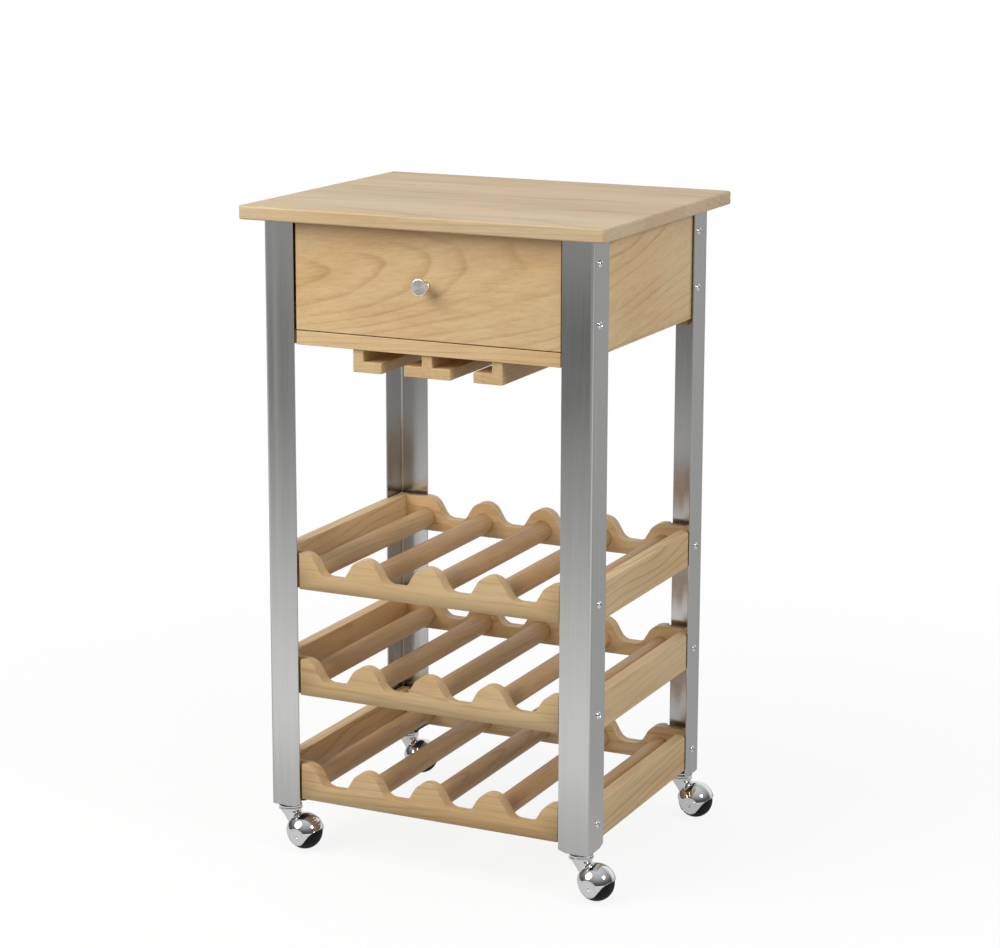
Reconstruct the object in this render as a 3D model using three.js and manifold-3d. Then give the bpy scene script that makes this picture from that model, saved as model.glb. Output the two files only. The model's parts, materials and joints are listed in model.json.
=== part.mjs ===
// Kitchen island cart: wood top, one drawer, stemware rails, three wine racks,
// four folded steel angle legs and four hooded ball casters.
// Millimetres, +Z up, front towards -Y, origin on the floor under the middle of the top.
import * as THREE from 'three';
import { mergeVertices } from 'three/addons/utils/BufferGeometryUtils.js';
import Module from 'manifold-3d';

const wasm = await Module();
wasm.setup();

// ---- driving dimensions -------------------------------------------------------------------

const GAP = 0.3; // clearance kept between pieces that touch
const TOP = { width: 512, depth: 428, thick: 18, height: 870, corner: 3, ease: 2.5 };
const LEG = {
  spanX: 463.6, spanY: 380.4, flangeX: 43, flangeY: 46.5, wall: 1.8, bend: 4.5,
  bottom: 62, chamferLong: 11, chamferHigh: 3.5,
};
// Wood frames stand between the leg flanges, and their ends are stepped back behind them.
const FACE_SETBACK = { x: 1.2, y: 2.5 }; // wood face behind the outer face of the leg
const STEP = { gap: 2.2, depthX: 3, depthY: 6 };
const BOARD = { side: 17, front: 18 };

const CARCASS = { railBottom: 690.5, railTop: 708.9, panelBottom: 709.5, floorThick: 4.6 };
const REAR_STEP_GAP = 12; // wider step at the rear end of the carcass sides
const DRAWER = {
  bottom: 710.2, topGap: 1.2, boxLow: 716, boxHigh: 842, sideThick: 12,
  length: 320, outerHalf: 183, panelLow: 722, panelThick: 4,
};
const KNOB = { z: 780, face: 11.2, neck: 4.6, foot: 6, length: 18 };

const STEM_RACK = {
  bottom: 660.5, flange: 14, webTop: 690.2, web: 15, halfLength: 184,
  outer: 106, sideWidth: 41, middleWidth: 66,
};

const RACK = {
  bottoms: { lower: 74, middle: 219, upper: 364 },
  height: 48.5, pitch: 91, bottles: 4,
  waveDrop: 30, flankDegrees: 60, valleyFlat: 6, valleyRadius: 16.5, peakRadius: 21.7,
};
const DOWEL = { radius: 14.2, above: 18.8, seat: 10, clearance: 0.35 };

const CASTER = {
  x: 213.5, y: 172, trail: 23, ball: 23.5, hoodIn: 24.4, hoodOut: 25.8, tilt: 6.5,
  face: 22.6, sheet: 1.4, pin: 3, bore: 3.35, stem: 4, stemTop: 71.4,
};
// Lower edge of the hood: round under each end of the axle, then rising to a level edge.
const HOOD_EDGE = { level: 7, ear: 12.9, drop: 2.7, wrap: 65, meet: 24.5 };
const NECK = { bottom: 31.5, top: 52.6, radiusLow: 9, radiusTop: 14.6, lean: 9.2 };
const HEADINGS = { front_right: -6, front_left: -4, rear_right: -2, rear_left: -3 };
const FACETS = { ball: 22, turned: 18, rod: 14, small: 12 };
const SOCKET = { reach: 46, corner: 12, plate: 68.6, top: 73.6, sleeve: 15, bore: 4.4, boreTop: 72 };

const radians = THREE.MathUtils.degToRad;
const LEG_TOP = TOP.height - TOP.thick - GAP;
const SIDE_FACE = LEG.spanX / 2 - FACE_SETBACK.x;
const SIDE_INNER = SIDE_FACE - BOARD.side;
const FRONT_FACE = LEG.spanY / 2 - FACE_SETBACK.y;
const FRONT_INNER = FRONT_FACE - BOARD.front;
const OPEN_X = LEG.spanX / 2 - LEG.flangeX - STEP.gap; // half width of a raised front face
const OPEN_Y = LEG.spanY / 2 - LEG.flangeY - STEP.gap; // half length of a raised side face

// ---- materials ----------------------------------------------------------------------------

const material = (color, roughness, metalness) =>
  new THREE.MeshStandardMaterial({ color, roughness, metalness });
const WOOD = material(0xcbb187, 0.55, 0);
const WOOD_TOP = material(0xc4b298, 0.5, 0);
const STEEL = material(0x9a9b99, 0.35, 1);
const CHROME = material(0xd6d8da, 0.08, 1);
const BLACK = material(0x1c1c1c, 0.6, 0);
const RUBBER = material(0x252423, 0.5, 0);

// ---- geometry helpers ---------------------------------------------------------------------

/** Closed three.js geometry to a manifold solid. */
function solid(geometry) {
  const bare = geometry.index ? geometry.toNonIndexed() : geometry.clone();
  bare.deleteAttribute('normal');
  bare.deleteAttribute('uv');
  const merged = mergeVertices(bare, 1e-4);
  return new wasm.Manifold(new wasm.Mesh({
    numProp: 3,
    vertProperties: new Float32Array(merged.attributes.position.array),
    triVerts: new Uint32Array(merged.index.array),
  }));
}

/** Manifold solid back to a three.js geometry. */
function geometryOf(body) {
  const mesh = body.getMesh();
  const geometry = new THREE.BufferGeometry();
  geometry.setAttribute('position', new THREE.BufferAttribute(mesh.vertProperties, 3));
  geometry.setIndex(new THREE.BufferAttribute(mesh.triVerts, 1));
  return geometry;
}

/** Box between two values on each axis, given in either order. */
function box([x0, x1], [y0, y1], [z0, z1]) {
  const geometry = new THREE.BoxGeometry(Math.abs(x1 - x0), Math.abs(y1 - y0), Math.abs(z1 - z0));
  return geometry.translate((x0 + x1) / 2, (y0 + y1) / 2, (z0 + z1) / 2);
}

const shapeOf = (points) => new THREE.Shape(points.map(([u, v]) => new THREE.Vector2(u, v)));

/** Plan outline (x, y) raised from z0 to z1. */
function raise(points, z0, z1) {
  const geometry = new THREE.ExtrudeGeometry(shapeOf(points), { depth: z1 - z0, bevelEnabled: false });
  return geometry.translate(0, 0, z0);
}

/** Front outline (x, z) carried from y0 to y1. */
function carryY(points, y0, y1) {
  const geometry = new THREE.ExtrudeGeometry(shapeOf(points), { depth: y1 - y0, bevelEnabled: false });
  return geometry.rotateX(Math.PI / 2).translate(0, y1, 0);
}

/** Side outline (y, z) carried from x0 to x1. */
function carryX(points, x0, x1) {
  const geometry = new THREE.ExtrudeGeometry(shapeOf(points), { depth: x1 - x0, bevelEnabled: false });
  const basis = new THREE.Matrix4().makeBasis(
    new THREE.Vector3(0, 1, 0), new THREE.Vector3(0, 0, 1), new THREE.Vector3(1, 0, 0));
  return geometry.applyMatrix4(basis).translate(x0, 0, 0);
}

/** Points on an arc, ends included, angles in degrees. */
function arc(u, v, radius, from, to, steps) {
  return Array.from({ length: steps + 1 }, (_, i) => {
    const angle = radians(from + ((to - from) * i) / steps);
    return [u + radius * Math.cos(angle), v + radius * Math.sin(angle)];
  });
}

/** Turned solid about +Z from [radius, z] points that start and end on the axis. */
function turn(points, segments) {
  const profile = points.map(([r, z]) => new THREE.Vector2(r, z));
  return new THREE.LatheGeometry(profile, segments).rotateX(Math.PI / 2);
}

const CORNERS = {
  front_right: [1, -1], front_left: [-1, -1], rear_right: [1, 1], rear_left: [-1, 1],
};
const SIDES = { left: -1, right: 1 };
const ENDS = { front: -1, back: 1 };

const cart = new THREE.Group();

function add(name, geometry, look, parent = cart) {
  const mesh = new THREE.Mesh(geometry, look);
  mesh.name = name;
  parent.add(mesh);
  return mesh;
}

// ---- tabletop -----------------------------------------------------------------------------

function tabletop() {
  const halfX = TOP.width / 2 - TOP.ease;
  const halfY = TOP.depth / 2 - TOP.ease;
  const r = TOP.corner;
  const outline = [
    ...arc(halfX - r, halfY - r, r, 0, 90, 3), ...arc(-halfX + r, halfY - r, r, 90, 180, 3),
    ...arc(-halfX + r, -halfY + r, r, 180, 270, 3), ...arc(halfX - r, -halfY + r, r, 270, 360, 3),
  ];
  const slab = new THREE.ExtrudeGeometry(shapeOf(outline), {
    depth: TOP.thick - 2 * TOP.ease, bevelEnabled: true, bevelSegments: 3,
    bevelThickness: TOP.ease, bevelSize: TOP.ease,
  });
  return slab.translate(0, 0, TOP.height - TOP.thick + TOP.ease);
}

// ---- legs and caster sockets --------------------------------------------------------------

/** Maps distances in from the outer faces of a leg corner to x, y. */
const fromCorner = ([sx, sy]) => ([a, b]) => [sx * (LEG.spanX / 2 - a), sy * (LEG.spanY / 2 - b)];

function leg(corner) {
  const { flangeX, flangeY, wall, bend, bottom, chamferLong, chamferHigh } = LEG;
  const outline = [
    [flangeX, 0], ...arc(bend, bend, bend, 270, 180, 5), [0, flangeY],
    [wall, flangeY], ...arc(bend, bend, bend - wall, 180, 270, 5), [flangeX, wall],
  ].map(fromCorner(corner));
  const [sx, sy] = corner;
  const freeX = sx * (LEG.spanX / 2 - flangeX);
  const freeY = sy * (LEG.spanY / 2 - flangeY);
  const cutX = [
    [freeX - sx, bottom - 1], [freeX + sx * chamferLong, bottom - 1],
    [freeX + sx * chamferLong, bottom], [freeX, bottom + chamferHigh], [freeX - sx, bottom + chamferHigh],
  ];
  const cutY = [
    [freeY - sy, bottom - 1], [freeY + sy * chamferLong, bottom - 1],
    [freeY + sy * chamferLong, bottom], [freeY, bottom + chamferHigh], [freeY - sy, bottom + chamferHigh],
  ];
  const outerX = (sx * LEG.spanX) / 2;
  const outerY = (sy * LEG.spanY) / 2;
  const frontWedge = carryY(cutX, outerY - wall - 1, outerY + wall + 1);
  const sideWedge = carryX(cutY, outerX - wall - 1, outerX + wall + 1);
  const section = solid(raise(outline, bottom, LEG_TOP));
  return geometryOf(section.subtract(solid(frontWedge)).subtract(solid(sideWedge)));
}

/** Black corner plate inside the foot of a leg, over a sleeve with the blind bore for the stem. */
function stemSocket(corner) {
  const { reach, corner: cutOff, plate, top, sleeve, bore, boreTop } = SOCKET;
  const near = LEG.wall + GAP;
  const inner = LEG.bend + GAP;
  const outline = [
    [inner, near], [reach - cutOff, near], [reach, cutOff], [reach, reach],
    [cutOff, reach], [near, reach - cutOff], [near, inner],
  ].map(fromCorner(corner));
  const [x, y] = [corner[0] * CASTER.x, corner[1] * CASTER.y];
  const low = LEG.bottom + GAP;
  const tube = turn([[0, low], [sleeve, low], [sleeve, plate + 1], [0, plate + 1]], FACETS.turned);
  const hole = turn([[0, low - 1], [bore, low - 1], [bore, boreTop], [0, boreTop]], FACETS.small);
  const block = solid(raise(outline, plate, top)).add(solid(tube.translate(x, y, 0)));
  return geometryOf(block.subtract(solid(hole.translate(x, y, 0))));
}

// ---- carcass round the drawer -------------------------------------------------------------

function carcassSide(sx) {
  const outer = sx * SIDE_FACE;
  const floor = sx * (SIDE_FACE - STEP.depthX);
  const inner = sx * SIDE_INNER;
  const end = FRONT_FACE;
  const rear = OPEN_Y + STEP.gap - REAR_STEP_GAP;
  const outline = [
    [inner, -end], [floor, -end], [floor, -OPEN_Y], [outer, -OPEN_Y],
    [outer, rear], [floor, rear], [floor, end], [inner, end],
  ];
  return raise(outline, CARCASS.panelBottom, LEG_TOP);
}

/** Board across the cart whose raised face stands between the leg flanges. */
function crossOutline(sy, halfLength) {
  const face = sy * FRONT_FACE;
  const floor = sy * (FRONT_FACE - STEP.depthY);
  const inner = sy * FRONT_INNER;
  return [
    [-halfLength, inner], [-halfLength, floor], [-OPEN_X, floor], [-OPEN_X, face],
    [OPEN_X, face], [OPEN_X, floor], [halfLength, floor], [halfLength, inner],
  ];
}

function frontRail() {
  const reach = SIDE_FACE - STEP.depthX;
  return raise(crossOutline(ENDS.front, reach), CARCASS.railBottom, CARCASS.railTop);
}

function backPanel() {
  return raise(crossOutline(ENDS.back, SIDE_INNER - GAP), CARCASS.railBottom, LEG_TOP);
}

function bottomPanel() {
  const x = SIDE_FACE - STEP.depthX;
  const y = FRONT_INNER - GAP;
  const top = CARCASS.panelBottom - GAP;
  return box([-x, x], [-y, y], [top - CARCASS.floorThick, top]);
}

/** L-shaped batten: a ledge under the drawer side and a guide beside it. */
function drawerRunner(sx) {
  const wallSide = sx * (SIDE_INNER - GAP);
  const guide = sx * (DRAWER.outerHalf + 1);
  const ledge = sx * (DRAWER.outerHalf - DRAWER.sideThick);
  const low = CARCASS.panelBottom + GAP;
  const ledgeTop = DRAWER.boxLow - GAP;
  const guideTop = ledgeTop + 26;
  const outline = [
    [ledge, low], [wallSide, low], [wallSide, guideTop], [guide, guideTop],
    [guide, ledgeTop], [ledge, ledgeTop],
  ];
  const end = FRONT_INNER - GAP;
  return carryY(outline, -end, end);
}

// ---- stemware rails -----------------------------------------------------------------------

function stemRail(kind) {
  const { bottom, flange, webTop, web, outer, sideWidth, middleWidth, halfLength } = STEM_RACK;
  const shelf = bottom + flange;
  const middle = middleWidth / 2;
  const half = web / 2;
  const sideOutline = (s) => [
    [s * outer, bottom], [s * (outer - sideWidth), bottom], [s * (outer - sideWidth), shelf],
    [s * (outer - web), shelf], [s * (outer - web), webTop], [s * outer, webTop],
  ];
  const outlines = {
    left: sideOutline(-1),
    right: sideOutline(1),
    middle: [[-middle, bottom], [middle, bottom], [middle, shelf], [half, shelf],
      [half, webTop], [-half, webTop], [-half, shelf], [-middle, shelf]],
  };
  return carryY(outlines[kind], -halfLength, halfLength);
}

// ---- drawer -------------------------------------------------------------------------------

const DRAWER_BACK = -FRONT_INNER + GAP + DRAWER.length;

function drawerFront() {
  return box([-OPEN_X, OPEN_X], [-FRONT_FACE, -FRONT_INNER],
    [DRAWER.bottom, TOP.height - TOP.thick - DRAWER.topGap]);
}

function drawerSide(sx) {
  return box([sx * (DRAWER.outerHalf - DRAWER.sideThick), sx * DRAWER.outerHalf],
    [-FRONT_INNER + GAP, DRAWER_BACK], [DRAWER.boxLow, DRAWER.boxHigh]);
}

function drawerBack() {
  const half = DRAWER.outerHalf - DRAWER.sideThick - GAP;
  return box([-half, half], [DRAWER_BACK - DRAWER.sideThick, DRAWER_BACK], [DRAWER.boxLow, DRAWER.boxHigh]);
}

function drawerBottom() {
  const half = DRAWER.outerHalf - DRAWER.sideThick - GAP;
  return box([-half, half], [-FRONT_INNER + GAP, DRAWER_BACK - DRAWER.sideThick - GAP],
    [DRAWER.panelLow, DRAWER.panelLow + DRAWER.panelThick]);
}

/** Turned knob: small foot, neck, flare and a broad flat face. */
function knob() {
  const { face, neck, foot, length } = KNOB;
  const profile = [
    [0, 0], [foot, 0], [foot, 1.2], [neck, 2.6], [neck, 5.5],
    [face * 0.62, 9.5], [face * 0.9, 13.5], [face, 15.8], [face * 0.97, 17.3],
    [face * 0.88, length], [0, length],
  ];
  const base = -FRONT_FACE - GAP;
  return turn(profile, FACETS.turned).rotateX(Math.PI / 2).translate(0, base, KNOB.z);
}

// ---- wine racks ---------------------------------------------------------------------------

/** Half of one wave from a valley's middle to the next peak's middle, as offsets [u, height]. */
function halfWave() {
  const { pitch, waveDrop, flankDegrees, valleyFlat, valleyRadius, peakRadius } = RACK;
  const valley = arc(valleyFlat, valleyRadius, valleyRadius, 270, 270 + flankDegrees, 3);
  const peak = arc(pitch / 2, waveDrop - peakRadius, peakRadius, 90 + flankDegrees, 90, 4);
  return [...valley, ...peak];
}

/** Outline (x, z) of a wavy rail: valleys at every pitch, flat shoulders at both ends. */
function wavyOutline(bottom, halfLength) {
  const low = bottom + RACK.height - RACK.waveDrop;
  const rising = halfWave();
  const falling = rising.map(([u, h]) => [-u, h]).reverse();
  const crest = [];
  for (let i = 0; i < RACK.bottles; i += 1) {
    const middle = (i - (RACK.bottles - 1) / 2) * RACK.pitch;
    const notch = [...falling, ...rising].map(([u, h]) => [middle + u, low + h]);
    crest.push(...(i === 0 ? notch : notch.slice(1)));
  }
  const top = bottom + RACK.height;
  const outline = [
    [-halfLength, bottom], [-halfLength, top], ...crest, [halfLength, top], [halfLength, bottom],
  ];
  return outline.reverse();
}

const dowelX = (i) => (i - RACK.bottles / 2) * RACK.pitch;

/** Front or back rail of a rack, with stepped ends and a blind seat for each dowel. */
function wavyRail(bottom, sy) {
  const end = SIDE_INNER - GAP;
  const ys = [sy * FRONT_INNER, sy * FRONT_FACE].sort((a, b) => a - b);
  let rail = solid(carryY(wavyOutline(bottom, end), ys[0], ys[1]));
  for (const sx of Object.values(SIDES)) {
    const step = box([sx * OPEN_X, sx * (end + 1)],
      [sy * (FRONT_FACE - STEP.depthY), sy * (FRONT_FACE + 1)], [bottom - 1, bottom + RACK.height + 1]);
    rail = rail.subtract(solid(step));
  }
  const radius = DOWEL.radius + DOWEL.clearance;
  for (let i = 0; i <= RACK.bottles; i += 1) {
    const seat = new THREE.CylinderGeometry(radius, radius, DOWEL.seat + 1, FACETS.rod);
    seat.translate(dowelX(i), sy * (FRONT_INNER + (DOWEL.seat - 1) / 2), bottom + DOWEL.above);
    rail = rail.subtract(solid(seat));
  }
  return geometryOf(rail);
}

function rackSide(bottom, sx) {
  const outer = sx * SIDE_FACE;
  const floor = sx * (SIDE_FACE - STEP.depthX);
  const inner = sx * SIDE_INNER;
  const end = FRONT_FACE - STEP.depthY;
  const outline = [
    [inner, -end], [floor, -end], [floor, -OPEN_Y], [outer, -OPEN_Y],
    [outer, OPEN_Y], [floor, OPEN_Y], [floor, end], [inner, end],
  ];
  return raise(outline, bottom, bottom + RACK.height);
}

function dowel(bottom, i) {
  const length = 2 * (FRONT_INNER + DOWEL.seat - GAP);
  const rod = new THREE.CylinderGeometry(DOWEL.radius, DOWEL.radius, length, FACETS.rod);
  return rod.translate(dowelX(i), 0, bottom + DOWEL.above);
}

// ---- casters ------------------------------------------------------------------------------
// Built with the swivel axis on Z and the ball behind it towards +X.

const AXLE_TURN = radians(CASTER.tilt);

/** Places a piece made about +Z, with the ball's centre at the origin, on the tilted axle. */
const ontoAxle = (geometry) =>
  geometry.rotateX(-Math.PI / 2 + AXLE_TURN).translate(CASTER.trail, 0, CASTER.ball);

/** Right half of the hood's lower edge, as [x, z] from the ball's centre, from under the axle. */
function edgeHalf() {
  const { level, ear, drop, wrap, meet } = HOOD_EDGE;
  const round = arc(0, -drop, ear, 270, 270 + wrap, 4);
  const [x0, z0] = round.at(-1);
  const span = meet - x0;
  const slope = Math.tan(radians(wrap));
  const steps = 5;
  const rise = Array.from({ length: steps }, (_, i) => {
    const t = (i + 1) / steps;
    const eased = t * t * (3 - 2 * t);
    return [x0 + span * t, z0 + (level - z0) * eased + slope * span * t * (1 - t) ** 2];
  });
  return [...round, ...rise];
}

/** Ball with a flat of equal size across both ends of the axle. */
function flattenedBall(radius, halfWidth) {
  const { trail, ball } = CASTER;
  const sphere = new THREE.SphereGeometry(radius, FACETS.ball, FACETS.ball / 2);
  const wide = radius + 2;
  const drum = turn([[0, -halfWidth], [wide, -halfWidth], [wide, halfWidth], [0, halfWidth]], FACETS.ball);
  return solid(sphere.translate(trail, 0, ball)).intersect(solid(ontoAxle(drum)));
}

/** Chrome hood with a flat ear at each end of the axle, neck, collar rings, stem and axle. */
function casterHood() {
  const { trail, ball, hoodIn, hoodOut, face, sheet, stem, stemTop, pin } = CASTER;
  const neck = turn([
    [0, NECK.bottom], [NECK.radiusLow, NECK.bottom], [NECK.radiusTop, NECK.top], [0, NECK.top],
  ], FACETS.turned);
  const shear = -NECK.lean / (NECK.top - NECK.bottom);
  neck.translate(0, 0, -NECK.top).applyMatrix4(new THREE.Matrix4().makeShear(0, 0, 0, 0, shear, 0));
  neck.translate(0, 0, NECK.top);
  const collars = turn([
    [0, NECK.top - 0.5], [14.6, NECK.top - 0.5], [16, 53.2], [16, 55.8], [13.6, 56.4], [13.6, 57.2],
    [15.6, 57.8], [15.6, 61], [stem, 61.4], [stem, stemTop], [0, stemTop],
  ], FACETS.turned);

  const half = edgeHalf();
  const wide = hoodOut + 2;
  const opening = [
    [-wide, -wide], [-wide, HOOD_EDGE.level], ...half.slice(1).map(([x, z]) => [-x, z]).reverse(),
    ...half, [wide, HOOD_EDGE.level], [wide, -wide],
  ];
  const cut = carryY(opening, -wide, wide).translate(trail, 0, ball);
  const axleEnd = face - sheet / 2;
  const axle = ontoAxle(turn([[0, -axleEnd], [pin, -axleEnd], [pin, axleEnd], [0, axleEnd]], FACETS.small));

  const shell = flattenedBall(hoodOut, face).add(solid(neck))
    .subtract(flattenedBall(hoodIn, face - sheet)).subtract(solid(cut));
  return geometryOf(shell.add(solid(collars)).add(solid(axle)));
}

/** Ball wheel, flat where it meets the ears of the hood, with a bore right through. */
function casterWheel() {
  const { ball, bore, face, sheet, tilt } = CASTER;
  const flat = face - sheet - GAP;
  const end = THREE.MathUtils.radToDeg(Math.asin(flat / ball));
  return ontoAxle(turn([
    [bore, -flat], ...arc(0, 0, ball, -end, -tilt, 5), ...arc(0, 0, ball, -tilt, end, 6).slice(1),
    [bore, flat], [bore, -flat],
  ], FACETS.ball));
}

// ---- assembly -----------------------------------------------------------------------------

add('tabletop', tabletop(), WOOD_TOP);
for (const [corner, signs] of Object.entries(CORNERS)) {
  add(`leg_${corner}`, leg(signs), STEEL);
  add(`stem_socket_${corner}`, stemSocket(signs), BLACK);
}

for (const [side, sx] of Object.entries(SIDES)) {
  add(`carcass_side_${side}`, carcassSide(sx), WOOD);
  add(`drawer_runner_${side}`, drawerRunner(sx), WOOD);
}
add('front_bottom_rail', frontRail(), WOOD);
add('back_panel', backPanel(), WOOD);
add('bottom_panel', bottomPanel(), WOOD);
for (const kind of ['left', 'middle', 'right']) add(`stemware_rail_${kind}`, stemRail(kind), WOOD);

add('drawer_front', drawerFront(), WOOD);
for (const [side, sx] of Object.entries(SIDES)) add(`drawer_side_${side}`, drawerSide(sx), WOOD);
add('drawer_back', drawerBack(), WOOD);
add('drawer_bottom', drawerBottom(), WOOD);
add('drawer_knob', knob(), STEEL);

for (const [level, bottom] of Object.entries(RACK.bottoms)) {
  for (const [end, sy] of Object.entries(ENDS)) {
    add(`${level}_rack_${end}_rail`, wavyRail(bottom, sy), WOOD);
  }
  for (const [side, sx] of Object.entries(SIDES)) {
    add(`${level}_rack_${side}_rail`, rackSide(bottom, sx), WOOD);
  }
  for (let i = 0; i <= RACK.bottles; i += 1) add(`${level}_rack_dowel_${i + 1}`, dowel(bottom, i), WOOD);
}

const hoodGeometry = casterHood();
const wheelGeometry = casterWheel();
for (const [corner, [sx, sy]] of Object.entries(CORNERS)) {
  const caster = new THREE.Group();
  caster.position.set(sx * CASTER.x, sy * CASTER.y, 0);
  caster.rotation.z = radians(HEADINGS[corner]);
  add(`caster_hood_${corner}`, hoodGeometry, CHROME, caster);
  add(`caster_wheel_${corner}`, wheelGeometry, RUBBER, caster);
  cart.add(caster);
}

export default cart;
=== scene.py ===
import json
import math

import bmesh
import bpy
from mathutils import Matrix, Vector


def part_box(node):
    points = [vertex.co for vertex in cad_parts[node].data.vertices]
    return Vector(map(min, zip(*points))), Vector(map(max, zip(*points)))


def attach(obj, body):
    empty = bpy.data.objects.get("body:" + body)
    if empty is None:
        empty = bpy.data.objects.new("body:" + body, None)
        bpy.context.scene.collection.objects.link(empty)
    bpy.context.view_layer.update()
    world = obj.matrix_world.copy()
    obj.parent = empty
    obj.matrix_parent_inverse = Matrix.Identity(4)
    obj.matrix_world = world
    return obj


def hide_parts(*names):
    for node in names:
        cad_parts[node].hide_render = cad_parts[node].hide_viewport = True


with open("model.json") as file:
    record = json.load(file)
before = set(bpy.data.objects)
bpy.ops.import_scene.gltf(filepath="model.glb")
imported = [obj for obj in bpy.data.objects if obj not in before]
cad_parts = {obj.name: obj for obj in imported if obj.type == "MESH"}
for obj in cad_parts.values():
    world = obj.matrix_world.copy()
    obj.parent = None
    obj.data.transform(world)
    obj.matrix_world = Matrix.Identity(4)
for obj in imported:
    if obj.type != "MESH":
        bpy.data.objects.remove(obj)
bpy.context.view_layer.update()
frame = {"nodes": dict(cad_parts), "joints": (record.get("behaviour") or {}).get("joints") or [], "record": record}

BODY_OF = {n: body for body, nodes in frame["record"]["behaviour"]["bodies"].items() for n in nodes}
CORNERS = {"front_right": (1, -1), "front_left": (-1, -1), "rear_right": (1, 1), "rear_left": (-1, 1)}
LEVELS = ("lower", "middle", "upper")
scene = bpy.context.scene


# ---- camera, light and floor --------------------------------------------------------------

AZIMUTH, ELEVATION, ROLL = math.radians(25.69), math.radians(11.64), math.radians(0.1)
CAMERA_PLACE = Vector((1.53335, -3.19851, 1.31174))
LENS, SENSOR_WIDTH = 98.03, 36  # millimetres
SHIFT_X, SHIFT_Y = 0.0139, -0.060  # in sensor widths
NEAREST, FURTHEST = 0.05, 100
LIGHT_AIM = Vector((0, 0, 0.45))


def make_camera():
    """Camera that looks at the cart from its front right, a little from above."""
    data = bpy.data.cameras.new("camera")
    data.lens, data.sensor_width = LENS, SENSOR_WIDTH
    data.shift_x, data.shift_y = SHIFT_X, SHIFT_Y
    data.clip_start, data.clip_end = NEAREST, FURTHEST
    camera = bpy.data.objects.new("camera", data)
    scene.collection.objects.link(camera)
    level = math.cos(ELEVATION)
    back = Vector((math.sin(AZIMUTH) * level, -math.cos(AZIMUTH) * level, math.sin(ELEVATION)))
    turn = (-back).to_track_quat("-Z", "Y").to_matrix().to_4x4() @ Matrix.Rotation(ROLL, 4, "Z")
    camera.matrix_world = Matrix.Translation(CAMERA_PLACE) @ turn
    scene.camera = camera


def make_light(name, place, size, power, colour, mirrored=True):
    """Round lamp aimed at the middle of the cart. Size in metres, power in watts."""
    data = bpy.data.lights.new(name, "AREA")
    data.shape, data.size, data.energy, data.color = "DISK", size, power, colour
    light = bpy.data.objects.new(name, data)
    light.visible_glossy = mirrored
    scene.collection.objects.link(light)
    light.location = place
    light.rotation_euler = (LIGHT_AIM - Vector(place)).to_track_quat("-Z", "Y").to_euler()


# ---- node helpers -------------------------------------------------------------------------


class Nodes:
    """A node tree that is written as nested calls. A value may be a number, a tuple or a socket."""

    def __init__(self, tree):
        self.tree = tree
        tree.nodes.clear()

    def add(self, kind, inputs=None, out=0, **settings):
        """Adds a node and gives one of its outputs, or the node itself when out is None."""
        node = self.tree.nodes.new(kind)
        for key, value in settings.items():
            setattr(node, key, value)
        for key, value in (inputs or {}).items():
            if isinstance(value, bpy.types.NodeSocket):
                self.tree.links.new(value, node.inputs[key])
            else:
                node.inputs[key].default_value = value
        return node if out is None else node.outputs[out]

    def place(self):
        """The frame's own coordinates in metres, because every piece has its origin there."""
        return self.add("ShaderNodeTexCoord", out="Object")

    def math(self, operation, a, b=0.0, c=0.0, clamp=False):
        inputs = {0: a, 1: b, 2: c}
        return self.add("ShaderNodeMath", inputs, operation=operation, use_clamp=clamp)

    def vector(self, operation, a, b):
        return self.add("ShaderNodeVectorMath", {0: a, 1: b}, operation=operation)

    def noise(self, where, scale, detail=2.0, rough=0.5):
        inputs = {"Vector": where, "Scale": scale, "Detail": detail, "Roughness": rough}
        return self.add("ShaderNodeTexNoise", inputs)

    def ramp(self, value, stops):
        """Grey level from a value, by (position, level) stops."""
        node = self.add("ShaderNodeValToRGB", {"Fac": value}, out=None)
        elements = node.color_ramp.elements
        while len(elements) < len(stops):
            elements.new(0.5)
        for element, (position, level) in zip(elements, stops):
            element.position, element.color = position, (level, level, level, 1)
        return node.outputs[0]

    def mix(self, factor, a, b, blend="MIX"):
        node = self.add("ShaderNodeMix", out=None, data_type="RGBA", blend_type=blend)
        for socket, value in zip((node.inputs[0], node.inputs[6], node.inputs[7]), (factor, a, b)):
            if isinstance(value, bpy.types.NodeSocket):
                self.tree.links.new(value, socket)
            else:
                socket.default_value = value
        return node.outputs[2]

    def bump(self, height, strength, distance):
        return self.add("ShaderNodeBump", {"Height": height, "Strength": strength, "Distance": distance})

    def surface(self, shader):
        out = self.add("ShaderNodeOutputMaterial", out=None)
        self.tree.links.new(shader, out.inputs["Surface"])


def new_material(name):
    material = bpy.data.materials.new(name)
    material.use_nodes = True
    return material, Nodes(material.node_tree)


def principled(n, **inputs):
    n.surface(n.add("ShaderNodeBsdfPrincipled", {k.replace("_", " "): v for k, v in inputs.items()}))


def linear(red, green, blue):
    """sRGB 0 to 255 as a linear colour."""
    return tuple(((c / 255 + 0.055) / 1.055) ** 2.4 for c in (red, green, blue)) + (1,)


# ---- stage --------------------------------------------------------------------------------


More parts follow.
